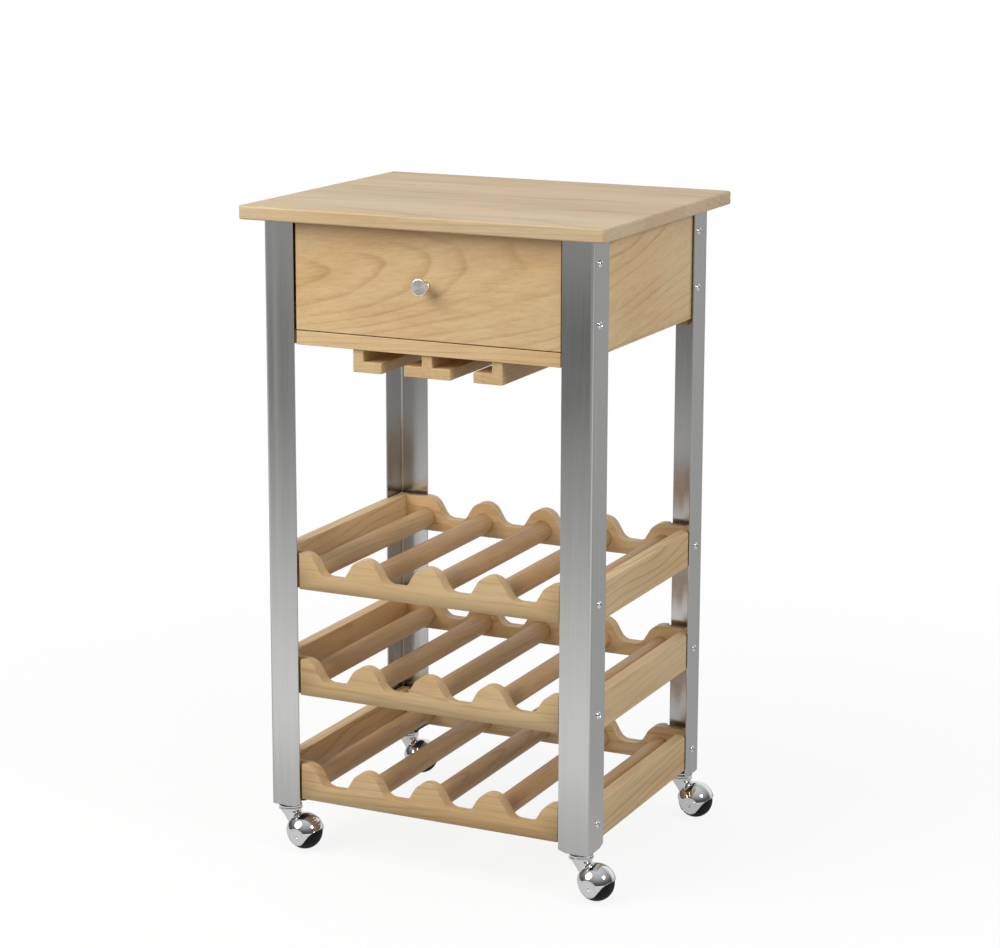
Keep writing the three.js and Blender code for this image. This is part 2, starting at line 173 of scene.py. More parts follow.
SKY_SEEN, SKY_SOFT, SKY_BEHIND = (1, 1, 1, 1), (0.50, 0.51, 0.53, 1), (0.85, 0.87, 0.9, 1)
SKY_UPWARD = [(0.0, 0.07), (0.25, 0.10), (0.6, 0.35), (1.0, 0.6)]  # mirrored level by the ray's z
BEHIND = [(0.55, 0.0), (0.85, 1.0)]  # share of SKY_BEHIND by the ray's y
FLOOR_RADIUS, FLOOR_SIDES = 14, 96
# FLOOR_SOFT is the floor's glow for diffuse rays: a painted bounce light from below.
FLOOR_SEEN, FLOOR_SOFT, PAPER = (1, 1, 1, 1), (0.24, 0.24, 0.24, 1), (0.93, 0.93, 0.93, 1)
FLOOR_SPAN = 8  # metres of y that FLOOR_MIRRORED covers, half of them in front
# FLOOR_MIRRORED is painted light: levels of the floor's glow that only mirrored rays see, set to paint the
# reflections in the legs.
FLOOR_MIRRORED = [(0.02, 0.42), (0.23, 0.44), (0.41, 0.98), (0.45, 0.66), (0.54, 0.46)]
# The patch is a painted darker spot in that glow, which paints dark reflections at the tops of the legs.
PATCH_PLACE, PATCH_REACH = (-1.4, -3.8, 0), 2.0  # darker part of the mirrored floor
PATCH_LEVEL = [(0.2, 0.10), (0.7, 1.0)]
PAPER_REACH = 1.6  # metres round the cart where the floor takes its shadow
PAPER_SHARE = [(0.0, 0.14), (0.35, 0.12), (1.0, 0.0)]
PAPER_GRAIN, PAPER_RELIEF = 240, 0.0005


def make_world():
    """White to the camera, even for soft light, and shaded where metal mirrors it."""
    world = bpy.data.worlds.new("studio")
    scene.world = world
    world.use_nodes = True
    n = Nodes(world.node_tree)
    rays = n.add("ShaderNodeLightPath", out=None)
    ray = n.add("ShaderNodeTexCoord", out="Generated")
    direction = n.add("ShaderNodeSeparateXYZ", {0: ray}, out=None)
    upward = n.ramp(direction.outputs["Z"], SKY_UPWARD)
    mirrored = n.mix(n.ramp(direction.outputs["Y"], BEHIND), upward, SKY_BEHIND)
    soft = n.mix(rays.outputs["Is Glossy Ray"], SKY_SOFT, mirrored)
    seen = n.mix(rays.outputs["Is Camera Ray"], soft, SKY_SEEN)
    out = n.add("ShaderNodeOutputWorld", out=None)
    n.tree.links.new(n.add("ShaderNodeBackground", {"Color": seen, "Strength": 1.0}), out.inputs[0])


def make_floor():
    """Pale paper that shows the cart's soft shadow near it and fades to white around. Most of it is a glow that no
    lamp gives: white to the camera, a dim painted bounce for soft light, and for mirrored rays a painted pattern
    of levels with a darker patch, which paints the bright and dark reflections in the legs.
    """
    bm = bmesh.new()
    bmesh.ops.create_circle(bm, cap_ends=True, segments=FLOOR_SIDES, radius=FLOOR_RADIUS)
    mesh = bpy.data.meshes.new("floor")
    bm.to_mesh(mesh)
    bm.free()
    floor = bpy.data.objects.new("floor", mesh)
    scene.collection.objects.link(floor)
    material, n = new_material("floor_paper")
    rays = n.add("ShaderNodeLightPath", out=None)
    place = n.place()
    depth = n.add("ShaderNodeSeparateXYZ", {0: place}, out="Y")
    fore_and_aft = n.math("MULTIPLY_ADD", depth, 1 / FLOOR_SPAN, 0.5)
    # Painted reflections: a darker patch and levels by y in the glow that mirrored rays see.
    patch = n.add("ShaderNodeVectorMath", {0: place, 1: PATCH_PLACE}, out="Value", operation="DISTANCE")
    shaded = n.ramp(n.math("DIVIDE", patch, PATCH_REACH), PATCH_LEVEL)
    mirrored = n.mix(1.0, n.ramp(fore_and_aft, FLOOR_MIRRORED), shaded, "MULTIPLY")
    # The floor's glow: white to the camera, a dim painted bounce for soft light.
    level = n.mix(rays.outputs["Is Diffuse Ray"], FLOOR_SEEN, FLOOR_SOFT)
    level = n.mix(rays.outputs["Is Glossy Ray"], level, mirrored)
    reach = n.add("ShaderNodeVectorMath", {0: place}, out="Value", operation="LENGTH")
    near = n.ramp(n.math("DIVIDE", reach, PAPER_REACH), PAPER_SHARE)
    glow = n.add("ShaderNodeEmission", {"Color": level, "Strength": 1.0})
    relief = n.bump(n.noise(place, PAPER_GRAIN, 3), 0.05, PAPER_RELIEF)
    paper = n.add("ShaderNodeBsdfDiffuse", {"Color": PAPER, "Normal": relief})
    n.surface(n.add("ShaderNodeMixShader", {0: near, 1: glow, 2: paper}))
    mesh.materials.append(material)


def make_lamps():
    make_light("key", (-1.25, -1.6, 1.9), 1.9, 41, (1.0, 0.955, 0.88))
    make_light("overhead", (0.1, 0.4, 3.0), 1.6, 2, (0.93, 0.97, 1.0), mirrored=False)
    make_light("right_fill", (1.9, -0.5, 1.5), 0.6, 12, (0.98, 0.98, 1.0))


def make_stage():
    make_world()
    make_floor()
    make_lamps()
    scene.view_settings.view_transform = "Standard"


# ---- materials ----------------------------------------------------------------------------

GRAIN_TURN = {"X": (0, 0, 0), "Y": (0, 0, -math.pi / 2)}
GRAIN_LINE = {"X": (1, 0, 0), "Y": (0, 1, 0)}
STREAKS, CLOUDS, FIBRES, STAVES, PORES = 0.22, 0.7, 0.75, 0.28, 0.18  # shares in the darkening of wood
LATE_WOOD = [(0.0, 0.4), (0.05, 0.0), (0.68, 0.08), (0.95, 1.0), (1.0, 0.4)]  # darkness across one ring
WARM_TINT, END_GRAIN = (0.96, 0.86, 0.74, 1), 0.86
LACQUER_IOR, LACQUER_ROUGH, FIBRE_ROUGH = 1.46, 0.36, 0.18
WOOD_RELIEF = 0.0004


def wood(name, grain, light, dark, seed, centre=(0, 0, 0), pith=(0.05, -0.09), ring=0.0085,
         tilt=(0.0, 0.03, 0.05), figure=0.55, wander=0.012, stave=None):
    """Lacquered wood: growth rings round a tilted pith, streaks, fibres, pores and end grain."""
    material, n = new_material(name)
    source = n.add("ShaderNodeTexCoord", out=None)
    place = n.vector("SUBTRACT", source.outputs["Object"], centre)
    turned = n.add("ShaderNodeMapping", {"Vector": place, "Rotation": GRAIN_TURN[grain]})
    if stave:
        across = n.add("ShaderNodeSeparateXYZ", {0: turned}, out="Y")
        index = n.math("FLOOR", n.math("DIVIDE", n.math("ADD", across, stave / 3), stave))
        shift = n.add("ShaderNodeTexWhiteNoise", {"W": n.math("ADD", index, seed)}, out=None,
                      noise_dimensions="1D")
        jump = n.vector("MULTIPLY", shift.outputs["Color"], (2.0, 0.16, 0.05))
        turned = n.vector("ADD", turned, jump)
    leaned = n.add("ShaderNodeMapping", {"Vector": turned, "Rotation": tilt,
                                         "Location": (seed * 1.7, pith[0], pith[1])})

    def stretched(along, around):
        return n.vector("MULTIPLY", leaned, (along, around, around))

    parts = n.add("ShaderNodeSeparateXYZ", {0: leaned}, out=None)
    radius = n.math("SQRT", n.math("ADD", n.math("POWER", parts.outputs["Y"], 2.0),
                                   n.math("POWER", parts.outputs["Z"], 2.0)))
    sway = n.math("SUBTRACT", n.noise(stretched(2.6, 10), 1, 2, 0.4), 0.5)
    radius = n.math("MULTIPLY_ADD", sway, wander * 2, radius)
    phase = n.math("DIVIDE", radius, ring)
    late = n.ramp(n.math("FRACT", phase), LATE_WOOD)
    strength = n.ramp(n.noise(stretched(1.5, 24), 1, 2), [(0.35, 0.1), (0.68, 1.0)])
    rings = n.math("MULTIPLY", late, strength)
    streak = n.ramp(n.noise(stretched(4, 150), 1, 4, 0.6), [(0.36, 0.0), (0.66, 1.0)])
    fibre = n.noise(stretched(9, 480), 1, 4, 0.7)
    pores = n.ramp(n.noise(stretched(55, 1500), 1, 2), [(0.62, 0.0), (0.72, 1.0)])
    cloud = n.noise(stretched(2.2, 9), 1, 3)

    amount = n.math("MULTIPLY", rings, figure)
    amount = n.math("MULTIPLY_ADD", streak, STREAKS, amount)
    amount = n.math("MULTIPLY_ADD", n.math("SUBTRACT", cloud, 0.5), CLOUDS, amount)
    amount = n.math("MULTIPLY_ADD", n.math("SUBTRACT", fibre, 0.5), FIBRES, amount)
    if stave:
        tone = n.math("SUBTRACT", shift.outputs["Value"], 0.5)
        amount = n.math("MULTIPLY_ADD", tone, STAVES, amount)
    amount = n.math("MULTIPLY_ADD", pores, PORES, amount, clamp=True)
    colour = n.mix(amount, light, dark)
    warmth = n.ramp(n.noise(stretched(2.8, 8), 1.3, 2), [(0.42, 0.0), (0.66, 0.8)])
    colour = n.mix(warmth, colour, n.mix(1.0, colour, WARM_TINT, "MULTIPLY"))
    facing = n.add("ShaderNodeVectorMath", {0: source.outputs["Normal"], 1: GRAIN_LINE[grain]}, out="Value",
                   operation="DOT_PRODUCT")
    end = n.ramp(n.math("ABSOLUTE", facing), [(0.6, 0.0), (0.9, 0.42)])
    colour = n.mix(end, colour, n.mix(amount, tuple(c * END_GRAIN for c in light[:3]) + (1,), dark))
    rough = n.math("MULTIPLY_ADD", fibre, FIBRE_ROUGH, LACQUER_ROUGH)
    height = n.math("MULTIPLY_ADD", pores, -1.0, fibre)
    principled(n, Base_Color=colour, Roughness=rough, IOR=LACQUER_IOR,
               Normal=n.bump(n.math("MULTIPLY_ADD", rings, 0.5, height), 0.16, WOOD_RELIEF))
    return material


STEEL_RELIEF, CHROME_RELIEF, MOULD_RELIEF = 0.00002, 0.0003, 0.0002


def brushed_steel(name, level, rough, brush=(900, 900, 7), turned="Z", ripple=60.0):
    """Stainless steel, brushed along the short component of brush. Ripple is the sheet's slight waves."""
    material, n = new_material(name)
    place = n.place()
    lines = n.noise(n.vector("MULTIPLY", place, brush), 1, 3, 0.65)
    bands = n.noise(n.vector("MULTIPLY", place, tuple(b / 12 for b in brush)), 1, 2)
    smudge = n.noise(place, 9, 3)
    waves = n.noise(n.vector("MULTIPLY", place, tuple(b / 20 for b in brush)), 1, 1)
    shade = n.math("MULTIPLY_ADD", lines, 0.12, n.math("MULTIPLY_ADD", bands, 0.05, level - 0.085))
    tint = n.add("ShaderNodeCombineColor", {0: shade, 1: n.math("MULTIPLY", shade, 0.995),
                                            2: n.math("MULTIPLY", shade, 0.98)})
    roughness = n.math("MULTIPLY_ADD", lines, 0.12, n.math("MULTIPLY_ADD", smudge, 0.08, rough - 0.10))
    height = n.math("MULTIPLY_ADD", waves, ripple, lines)
    principled(n, Base_Color=tint, Metallic=1.0, Roughness=roughness, Anisotropic=0.4,
               Normal=n.bump(height, 1.0, STEEL_RELIEF),
               Tangent=n.add("ShaderNodeTangent", direction_type="RADIAL", axis=turned))
    return material


def chrome(name):
    """Bright plating with faint smudges and a little dust."""
    material, n = new_material(name)
    place = n.place()
    smudge = n.noise(place, 55, 3)
    dust = n.ramp(n.noise(place, 900, 2), [(0.66, 0.0), (0.8, 1.0)])
    rough = n.math("MULTIPLY_ADD", dust, 0.10, n.math("MULTIPLY_ADD", smudge, 0.06, 0.02))
    tint = n.mix(smudge, (0.80, 0.81, 0.82, 1), (0.90, 0.90, 0.90, 1))
    principled(n, Base_Color=tint, Metallic=1.0, Roughness=rough,
               Normal=n.bump(n.noise(place, 70, 2), 0.03, CHROME_RELIEF))
    return material


def moulded(name, colour, rough, grain=2600, specular=0.5):
    """Moulded plastic or rubber with a fine grain and a little dust."""
    material, n = new_material(name)
    place = n.place()
    fine = n.noise(place, grain, 2)
    dust = n.ramp(n.noise(place, 130, 4), [(0.45, 0.0), (0.8, 1.0)])
    pale = tuple(min(1, c * 2.2 + 0.012) for c in colour[:3]) + (1,)
    principled(n, Base_Color=n.mix(n.math("MULTIPLY", dust, 0.5), colour, pale),
               Roughness=n.math("MULTIPLY_ADD", dust, 0.15, rough), Specular_IOR_Level=specular,
               Normal=n.bump(fine, 0.12, MOULD_RELIEF))
    return material


# ---- mesh helpers -------------------------------------------------------------------------


def finish_mesh(name, bm, material, sharp=35.0):
    """Object from a bmesh, smooth but for the edges sharper than an angle in degrees."""
    bmesh.ops.recalc_face_normals(bm, faces=bm.faces)
    mesh = bpy.data.meshes.new(name)
    bm.to_mesh(mesh)
    bm.free()
    mesh.polygons.foreach_set("use_smooth", [True] * len(mesh.polygons))
    mesh.set_sharp_from_angle(angle=math.radians(sharp))
    mesh.materials.append(material)
    piece = bpy.data.objects.new(name, mesh)
    scene.collection.objects.link(piece)
    return piece


def stand_for(piece, node):
    """Lets a piece take the place of a CAD node, on the same body."""
    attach(piece, BODY_OF[node])
    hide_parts(node)


def ease_edges(bm, width, segments, angle=30.0):
    """Rounds the edges whose faces meet at more than an angle in degrees."""
    limit = math.radians(angle)
    edges = [e for e in bm.edges if len(e.link_faces) == 2 and e.calc_face_angle(0) > limit]
    bmesh.ops.bevel(bm, geom=edges, offset=width, segments=segments, profile=0.5, affect="EDGES",
                    clamp_overlap=True)


def level_shading(piece):
    """Keeps flat faces flat to the light beside their rounded edges."""
    piece.modifiers.new("level_shading", "WEIGHTED_NORMAL").keep_sharp = True


def eased(node, material, width=0.0007, segments=3):
    """The CAD shape of a node with its flat faces made whole and its hard edges rounded."""
    bm = bmesh.new()
    bm.from_mesh(frame["nodes"][node].data)
    bmesh.ops.remove_doubles(bm, verts=bm.verts, dist=1e-6)
    bmesh.ops.dissolve_limit(bm, angle_limit=math.radians(0.4), verts=bm.verts, edges=bm.edges)
    ease_edges(bm, width, segments)
    piece = finish_mesh(node + "_finish", bm, material, 40)
    level_shading(piece)
    stand_for(piece, node)


def lathe(bm, profile, segments, place, radius_at=None):
    """Turned surface about +Z from [radius, z] points. radius_at may bend a ring out of round."""
    rings = []
    for i, (radius, z) in enumerate(profile):
        if radius < 1e-9:
            rings.append([bm.verts.new(place @ Vector((0, 0, z)))])
            continue
        ring = []
        for k in range(segments):
            angle = math.tau * k / segments
            r = radius_at(i, radius, angle) if radius_at else radius
            ring.append(bm.verts.new(place @ Vector((r * math.cos(angle), r * math.sin(angle), z))))
        rings.append(ring)
    for low, high in zip(rings, rings[1:]):
        for k in range(segments):
            corners = [low[k % len(low)], low[(k + 1) % len(low)],
                       high[(k + 1) % len(high)], high[k % len(high)]]
            bm.faces.new(list(dict.fromkeys(corners)))


def arc(u, v, radius, start, stop, steps):
    """Points on an arc, ends included, angles in degrees."""
    angles = [math.radians(start + (stop - start) * i / steps) for i in range(steps + 1)]
    return [(u + radius * math.cos(a), v + radius * math.sin(a)) for a in angles]


# ---- wavy rails and dowels ----------------------------------------------------------------

PITCH, BOTTLES, WAVE_DROP = 0.091, 4, 0.030
FLANK, VALLEY_FLAT, VALLEY_RADIUS, PEAK_RADIUS = 60.0, 0.006, 0.0165, 0.0217
SEAT_DEPTH, SEAT_RADIUS, DOWEL_ABOVE = 0.010, 0.01455, 0.0188
STEP_DEPTH, OPEN_HALF = 0.006, 0.1866
RAIL_EASE, PAST, SEAT_PAST = 0.0013, 0.01, 0.002  # cutters run past the faces they open
DOWEL_RADIUS, DOWEL_EASE = 0.0142, 0.0008


def crest_line(top):
    """Upper edge of a wavy rail from left to right."""
    low = top - WAVE_DROP
    rising = arc(VALLEY_FLAT, VALLEY_RADIUS, VALLEY_RADIUS, 270, 270 + FLANK, 9)
    rising += arc(PITCH / 2, WAVE_DROP - PEAK_RADIUS, PEAK_RADIUS, 90 + FLANK, 90, 9)
    falling = [(-u, h) for u, h in reversed(rising)]
    points = []
    for i in range(BOTTLES):
        middle = (i - (BOTTLES - 1) / 2) * PITCH
        notch = [(middle + u, low + h) for u, h in falling + rising]
        points += notch if i == 0 else notch[1:]
    return points


def carry(bm, outline, y0, y1):
    """Solid from an (x, z) outline carried between two values of y."""
    near = [bm.verts.new((x, y0, z)) for x, z in outline]
    far = [bm.verts.new((x, y1, z)) for x, z in outline]
    bm.faces.new(near)
    bm.faces.new(list(reversed(far)))
    for i in range(len(outline)):
        j = (i + 1) % len(outline)
        bm.faces.new([near[i], near[j], far[j], far[i]][::-1])


def cut(piece, cutter):
    """Takes the cutter's shape out of the piece and removes the cutter."""
    modifier = piece.modifiers.new("cut", "BOOLEAN")
    modifier.object, modifier.operation, modifier.solver = cutter, "DIFFERENCE", "EXACT"
    graph = bpy.context.evaluated_depsgraph_get()
    mesh = bpy.data.meshes.new_from_object(piece.evaluated_get(graph))
    piece.modifiers.clear()
    piece.data = mesh
    bpy.data.objects.remove(cutter)


def wavy_rail(level, end, material):
    """Front or back rail of a rack, stepped at its ends and with round seats for the dowels."""
    node = f"{level}_rack_{end}_rail"
    low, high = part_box(node)
    sy = -1 if end == "front" else 1
    face = low.y if sy < 0 else high.y
    inner = high.y if sy < 0 else low.y
    crest = crest_line(high.z)
    outline = [(low.x, low.z), (low.x, high.z), *crest, (high.x, high.z), (high.x, low.z)]
    bm = bmesh.new()
    carry(bm, outline[::-1], low.y, high.y)
    ease_edges(bm, RAIL_EASE, 3, 50)
    piece = finish_mesh(node + "_finish", bm, material, 40)
    bm = bmesh.new()
    for sx in (-1, 1):
        outer = sx * (high.x + PAST)
        edge = sx * OPEN_HALF
        corners = sorted((edge, outer))
        ys = sorted((face - sy * STEP_DEPTH, face + sy * PAST))
        step = [(corners[0], low.z - PAST), (corners[1], low.z - PAST),
                (corners[1], high.z + PAST), (corners[0], high.z + PAST)]
        carry(bm, step, *ys)
    for i in range(BOTTLES + 1):
        x = (i - BOTTLES / 2) * PITCH
        place = Matrix.Translation((x, inner - sy * SEAT_PAST, low.z + DOWEL_ABOVE))
        place @= Matrix.Rotation(-sy * math.pi / 2, 4, "X")
        depth = SEAT_DEPTH + SEAT_PAST
        lathe(bm, [(0, 0), (SEAT_RADIUS, 0), (SEAT_RADIUS, depth), (0, depth)], 40, place)
    cut(piece, finish_mesh("cutter", bm, material))
    level_shading(piece)
    stand_for(piece, node)


def dowel(node, material):
    """Round bar with eased ends, from the back rail to the front rail."""
    low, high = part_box(node)
    radius, length, ease = DOWEL_RADIUS, high.y - low.y, DOWEL_EASE
    centre = (low + high) / 2
    profile = [(0, 0), (radius - ease, 0), (radius, ease), (radius, length * 0.5),
               (radius, length - ease), (radius - ease, length), (0, length)]
    bm = bmesh.new()
    place = Matrix.Translation((centre.x, high.y, centre.z)) @ Matrix.Rotation(math.pi / 2, 4, "X")
    lathe(bm, profile, 48, place)
    stand_for(finish_mesh(node + "_finish", bm, material), node)


# ---- knob, screws -------------------------------------------------------------------------


# Knob outline: radius, distance from the drawer front
KNOB_FOOT = [(0, 0), (0.006, 0), (0.006, 0.0010), (0.0052, 0.0018)]
KNOB_NECK = [(0.0046, 0.0030), (0.0046, 0.0055), (0.0052, 0.0074)]
KNOB_FLARE = [(0.0069, 0.0095), (0.0088, 0.0117), (0.0101, 0.0135), (0.0109, 0.0150), (0.0112, 0.0160)]
KNOB_FACE = [(0.0111, 0.0170), (0.0106, 0.0178), (0.0100, 0.0180), (0.0098, 0.0178), (0.0030, 0.0178),
             (0, 0.0178)]


def knob(material):
    """Turned knob, from its foot on the drawer to a flat face inside a low ring."""
    low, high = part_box("drawer_knob")
    centre = (low + high) / 2
    bm = bmesh.new()
    place = Matrix.Translation((centre.x, high.y, centre.z)) @ Matrix.Rotation(math.pi / 2, 4, "X")
    lathe(bm, KNOB_FOOT + KNOB_NECK + KNOB_FLARE + KNOB_FACE, 72, place)
    stand_for(finish_mesh("drawer_knob_finish", bm, material, 30), "drawer_knob")


SCREW_HEAD, SCREW_HIGH, SOCKET_FLAT = 0.005, 0.0028, 0.0016
SCREW_HEIGHTS = (0.821, 0.745, 0.388, 0.243, 0.098)
SCREW_BACK = {-1: (-0.1717, -0.1645), 1: (0.1579, 0.166)}  # y on carcass, y on racks


def hex_ring(apothem, angle):
    """Distance from a hexagon's centre to its side at an angle. The apothem is half the width."""
    sixth = math.pi / 3
    return apothem / math.cos((angle % sixth) - sixth / 2)


def screw(bm, place):
    """Button head with a hex socket, rising along +Z from the seat."""
    dome = [(SCREW_HEAD * math.cos(a), SCREW_HIGH * math.sin(a) ** 0.9)
            for a in (math.radians(d) for d in (8, 22, 36, 50, 62))]
    profile = [(0, 0), (SCREW_HEAD * 0.98, 0), (SCREW_HEAD, 0.0003), *dome,
               (SOCKET_FLAT * 1.12, SCREW_HIGH), (SOCKET_FLAT, SCREW_HIGH - 0.0002),
               (SOCKET_FLAT, SCREW_HIGH - 0.0018), (0, SCREW_HIGH - 0.0020)]
    first_flat = len(profile) - 4

    def radius_at(i, radius, angle):
        return hex_ring(radius, angle) if i >= first_flat else radius

    lathe(bm, profile, 36, place, radius_at)


def leg_screws(corner, material):
    """The five screws through the side flange of a leg, each turned to a different angle."""
    sx, sy = CORNERS[corner]
    low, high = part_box(f"leg_{corner}")
    face = high.x if sx > 0 else low.x
    bm = bmesh.new()
    for z in SCREW_HEIGHTS:
        y = SCREW_BACK[sy][0] if z > 0.6 else SCREW_BACK[sy][1]
        place = Matrix.Translation((face, y, z)) @ Matrix.Rotation(sx * math.pi / 2, 4, "Y")
        place @= Matrix.Rotation(z * 40, 4, "Z")
        screw(bm, place)
    piece = finish_mesh(f"leg_screws_{corner}", bm, material, 30)
    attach(piece, "cart")


# ---- casters ------------------------------------------------------------------------------

TRAIL, BALL, HOOD_IN, HOOD_OUT = 0.023, 0.0235, 0.0244, 0.0256
FACE, SHEET, AXLE_RADIUS, BORE = 0.0224, 0.0014, 0.0030, 0.00335
EAR, EAR_DROP, EAR_WRAP = 0.0113, 0.0027, math.radians(45)  # round end of the hood under the axle
EDGE_LEVEL, EDGE_MEET, EDGE_STEPS = 0.007, 0.0245, 40  # level part of the edge of the hood
NECK_LOW, NECK_TOP, NECK_LEAN = 0.0315, 0.0526, 0.0092
NECK_RADIUS_LOW, NECK_RADIUS_TOP, NECK_WAIST = 0.009, 0.0146, 0.0007
COLLAR_LOW, COLLAR_HIGH, GROOVE, STEM = 0.0160, 0.0156, 0.0118, 0.0040  # radii
COLLARS = [(0, 0.0522), (NECK_RADIUS_TOP, 0.0522), (COLLAR_LOW, 0.0530), (COLLAR_LOW, 0.0547),
           (GROOVE, 0.0549), (GROOVE, 0.0569), (COLLAR_HIGH, 0.0571), (COLLAR_HIGH, 0.0586),
           (GROOVE, 0.0588), (GROOVE, 0.0614), (STEM, 0.0614), (STEM, 0.0710), (0, 0.0714)]
RIVET = [(0, 0.0007), (0.0007, 0.0006), (0.0012, -0.0001), (0.0017, -0.0004), (0.0024, -0.0003), (0.0028, 0)]
EAR_RING = [(0.0103, 0), (0.0106, 0.0005), (0.0110, 0.0005), (0.0113, 0)]  # radius, depth into the near ear
RIM = 0.0006  # radius of the bead along the hood's edge
JOINTS = {joint["name"]: joint for joint in frame["joints"]}
TILT = math.asin(JOINTS["wheel_roll_front_right"]["axis"][2])
AXLE = Matrix.Translation((TRAIL, 0, BALL)) @ Matrix.Rotation(-math.pi / 2 + TILT, 4, "X")


def caster_place(corner):
    """Swivel axis to the frame, from the joints' own axes."""
    swivel = JOINTS[f"caster_swivel_{corner}"]["pos_m"]
    axle = JOINTS[f"wheel_roll_{corner}"]["axis"]
    heading = math.atan2(-axle[0], axle[1])
    return Matrix.Translation((swivel[0], swivel[1], 0)) @ Matrix.Rotation(heading, 4, "Z")


def edge_height(x):
    """Lower edge of the hood over the ball's centre: round under the axle, then up to a level."""
    x = abs(x)
    leave = EAR * math.sin(EAR_WRAP)
    if x <= leave:
        return -EAR_DROP - math.sqrt(EAR ** 2 - x ** 2)
    start = -EAR_DROP - EAR * math.cos(EAR_WRAP)
    span = EDGE_MEET - leave
    t = min(1.0, (x - leave) / span)
    level = start + (EDGE_LEVEL - start) * t * t * (3 - 2 * t)
    return level + math.tan(EAR_WRAP) * span * t * (1 - t) ** 2


HALVINGS = 40


def edge_point(azimuth, radius):
    """Point of the hood's lower edge, seen from the ball's centre. Azimuth 0 is the near ear."""
    low, high = -radius, radius * 0.5
    for _ in range(HALVINGS):
        z = (low + high) / 2
        level = math.sqrt(max(0.0, radius ** 2 - z ** 2))
        low, high = (z, high) if z < edge_height(level * math.sin(azimuth)) else (low, z)
    spot = Vector((level * math.sin(azimuth), -level * math.cos(azimuth), z))
    axle = Vector((0, math.cos(TILT), math.sin(TILT)))
    along = spot.dot(axle)
    limit = FACE - RIM
    spot -= axle * (along - max(-limit, min(limit, along)))
    return Vector((TRAIL, 0, BALL)) + spot


def rolled_rim(bm, place):
    """Bead along the hood's lower edge."""
    steps, sides = 200, 10
    spots = [edge_point(math.tau * k / steps, HOOD_OUT - RIM) for k in range(steps)]
    centre = Vector((TRAIL, 0, BALL))
    rings = []
    for k, spot in enumerate(spots):
        along = (spots[(k + 1) % steps] - spots[k - 1]).normalized()
        outward = (spot - centre).normalized()
        across = along.cross(outward).normalized()
        outward = across.cross(along)
        turns = [math.tau * i / sides for i in range(sides)]
        rings.append([bm.verts.new(place @ (spot + RIM * (outward * math.cos(a) + across * math.sin(a))))
                      for a in turns])
    for k in range(steps):
        a, b = rings[k], rings[(k + 1) % steps]
        for i in range(sides):
            j = (i + 1) % sides
            bm.faces.new([a[i], b[i], b[j], a[j]])


def ear_arc(radius, face, steps):
    """Turned outline of a ball cut flat by both ears."""
    end = math.degrees(math.asin(face / radius))
    return arc(0, 0, radius, -end, end, steps)


def hood_shell(place, material):
    """Pressed shell over the ball, with flat ears and a riveted axle end in the near one."""
    outer = ear_arc(HOOD_OUT, FACE, 72)
    inner = ear_arc(HOOD_IN, FACE - SHEET, 60)
    near_ear = [(radius, -FACE + depth) for radius, depth in RIVET + EAR_RING]
    bm = bmesh.new()
    lathe(bm, [*near_ear, *outer, (0, FACE)], 144, place @ AXLE)
    lathe(bm, [(0, -FACE + SHEET), *inner, (0, FACE - SHEET)], 120, place @ AXLE)
    shell = finish_mesh("shell", bm, material)
    wide = HOOD_OUT + 0.002
    reaches = [EDGE_MEET * i / EDGE_STEPS for i in range(EDGE_STEPS + 1)]
    half = [(x, edge_height(x)) for x in reaches]
    outline = [(-wide, -wide), (-wide, EDGE_LEVEL), *[(-x, z) for x, z in half[:0:-1]], *half,
               (wide, EDGE_LEVEL), (wide, -wide)]
    bm = bmesh.new()
    carry(bm, outline[::-1], -wide, wide)
    bm.transform(place @ Matrix.Translation((TRAIL, 0, BALL)))
    cut(shell, finish_mesh("cutter", bm, material))
    return shell


def neck_skirt(bm, place):
    """Leaning cone from the collars down to the shell."""
    around, centre, sunk = 96, Vector((TRAIL, 0, BALL)), (HOOD_IN + HOOD_OUT) / 2
    levels = 10
    rings = [[] for _ in range(levels + 1)]
    for k in range(around):
        a = math.tau * k / around
        c, s = math.cos(a), math.sin(a)
        top = Vector((NECK_RADIUS_TOP * c, NECK_RADIUS_TOP * s, NECK_TOP))
        low = Vector((NECK_LEAN + NECK_RADIUS_LOW * c, NECK_RADIUS_LOW * s, NECK_LOW))
        line, start = low - top, top - centre
        towards, excess = line.dot(start), start.length_squared - sunk ** 2
        square = line.length_squared
        meet = (-towards - math.sqrt(max(0.0, towards * towards - square * excess))) / square
        for i, ring in enumerate(rings):
            t = i / levels
            inward = Vector((-c, -s, 0)) * (NECK_WAIST * math.sin(math.pi * t))
            ring.append(bm.verts.new(place @ (top + line * meet * t + inward)))
    for upper, lower in zip(rings, rings[1:]):
        for k in range(around):
            j = (k + 1) % around
            bm.faces.new([upper[k], lower[k], lower[j], upper[j]])


def caster_hood(corner, material):
    """Hood, neck, collars, stem and axle, pressed and riveted into one piece."""
    node = f"caster_hood_{corner}"
    place = caster_place(corner)
    shell = hood_shell(place, material)
    bm = bmesh.new()
    bm.from_mesh(shell.data)
    bpy.data.objects.remove(shell)
    rolled_rim(bm, place)
    neck_skirt(bm, place)
    lathe(bm, COLLARS, 64, place)
    half = FACE - SHEET / 2
    lathe(bm, [(0, -half), (AXLE_RADIUS, -half), (AXLE_RADIUS, half), (0, half)], 32, place @ AXLE)
    stand_for(finish_mesh(node + "_finish", bm, material, 30), node)


PLAY = 0.0003  # between the ball and each ear


